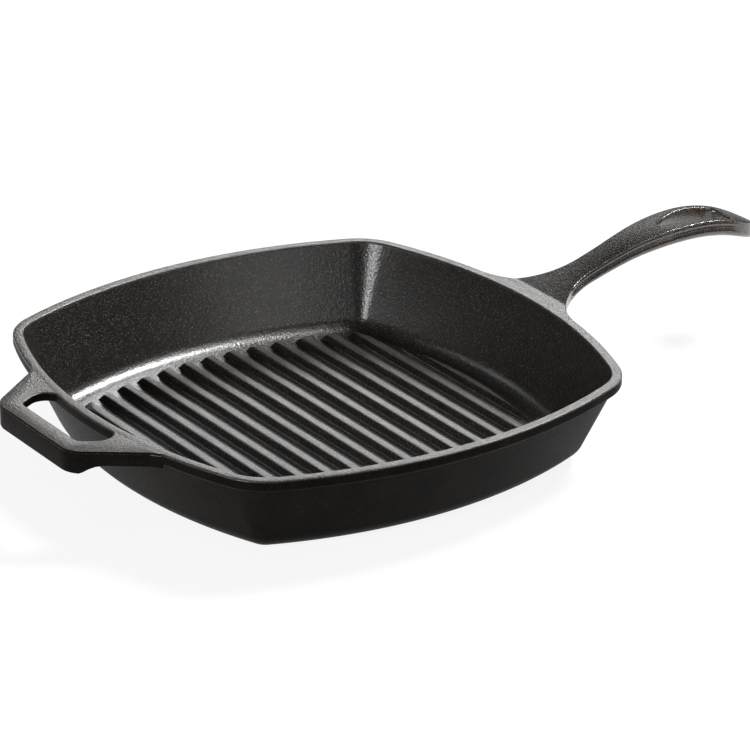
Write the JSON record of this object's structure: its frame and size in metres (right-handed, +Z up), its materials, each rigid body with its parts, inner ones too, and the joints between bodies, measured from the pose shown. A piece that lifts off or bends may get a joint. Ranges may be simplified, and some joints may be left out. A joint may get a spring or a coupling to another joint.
{
  "type": "square grill pan",
  "caption": "Square cast-iron grill pan: a flared bowed wall, raised cooking ribs, a long handle with a teardrop hanging slot and a looped helper handle.",
  "frame": {"origin": "middle of the flat underside, midway between the pan's four sides", "axes": "+X along the main handle towards its tip, +Y along the cooking ribs, +Z up out of the pan"},
  "size_m": [0.4362, 0.2666, 0.0672],
  "materials": {
    "seasoned_iron": "seasoned and satin, with a fine sand-cast grain"
  },
  "bodies": {
    "root": {"pan_floor": "seasoned_iron", "pan_foot": "seasoned_iron", "pan_wall": "seasoned_iron", "rim": "seasoned_iron", "grill_rib_01": "seasoned_iron", "grill_rib_02": "seasoned_iron", "grill_rib_03": "seasoned_iron", "grill_rib_04": "seasoned_iron", "grill_rib_05": "seasoned_iron", "grill_rib_06": "seasoned_iron", "grill_rib_07": "seasoned_iron", "grill_rib_08": "seasoned_iron", "grill_rib_09": "seasoned_iron", "grill_rib_10": "seasoned_iron", "grill_rib_11": "seasoned_iron", "grill_rib_12": "seasoned_iron", "grill_rib_13": "seasoned_iron", "grill_rib_14": "seasoned_iron", "grill_rib_15": "seasoned_iron", "handle_flare": "seasoned_iron", "main_handle": "seasoned_iron", "helper_handle": "seasoned_iron"}
  },
  "joints": []
}
